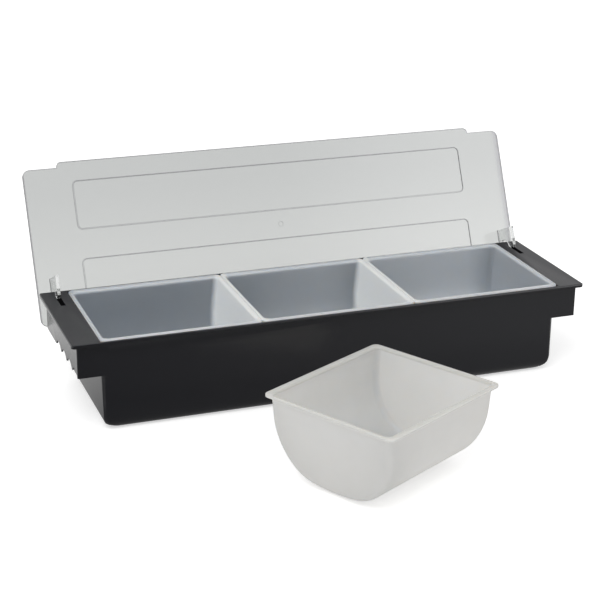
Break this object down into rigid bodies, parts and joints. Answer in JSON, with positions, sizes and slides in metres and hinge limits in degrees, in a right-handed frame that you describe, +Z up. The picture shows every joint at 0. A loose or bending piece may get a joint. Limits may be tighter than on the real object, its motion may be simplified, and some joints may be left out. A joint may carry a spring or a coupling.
{
  "type": "condiment caddy",
  "caption": "Long bar condiment caddy: tray with hand grips at its ends, lift-out scoop-bottomed inserts and a clear lid that swings up and back; a loose insert stands in front.",
  "frame": {"origin": "centre of the tray's flat underside, on the surface it stands on", "axes": "+X to the right along the tray, -Y towards the user in front, +Z up; stored with the lid open against the tray's back wall"},
  "size_m": [0.5, 0.4442, 0.1947],
  "materials": {
    "tray_black": "black, satin top and glossy walls",
    "lid_clear": "clear, slightly frosted",
    "insert_frosted": "frosted translucent white"
  },
  "bodies": {
    "tray": {"base_tray": "tray_black"},
    "lid": {"lid": "lid_clear"},
    "left_insert": {"insert_left": "insert_frosted"},
    "middle_insert": {"insert_middle": "insert_frosted"},
    "right_insert": {"insert_right": "insert_frosted"},
    "table_insert": {"insert_on_table": "insert_frosted"}
  },
  "joints": [
    {"name": "lid_hinge", "type": "hinge", "parent": "tray", "child": "lid", "pos_m": [0, 0.0645, 0.07857], "axis": [-1, 0, 0], "range_deg": [-115.3, 0]},
    {"name": "left_insert_lift", "type": "slide", "parent": "tray", "child": "left_insert", "axis": [0, 0, 1], "range_m": [0, 0.09]},
    {"name": "middle_insert_lift", "type": "slide", "parent": "tray", "child": "middle_insert", "axis": [0, 0, 1], "range_m": [0, 0.09]},
    {"name": "right_insert_lift", "type": "slide", "parent": "tray", "child": "right_insert", "axis": [0, 0, 1], "range_m": [0, 0.09]},
    {"name": "table_insert_lift", "type": "slide", "parent": "tray", "child": "table_insert", "axis": [0, 0, 1], "range_m": [0, 0.09]}
  ]
}
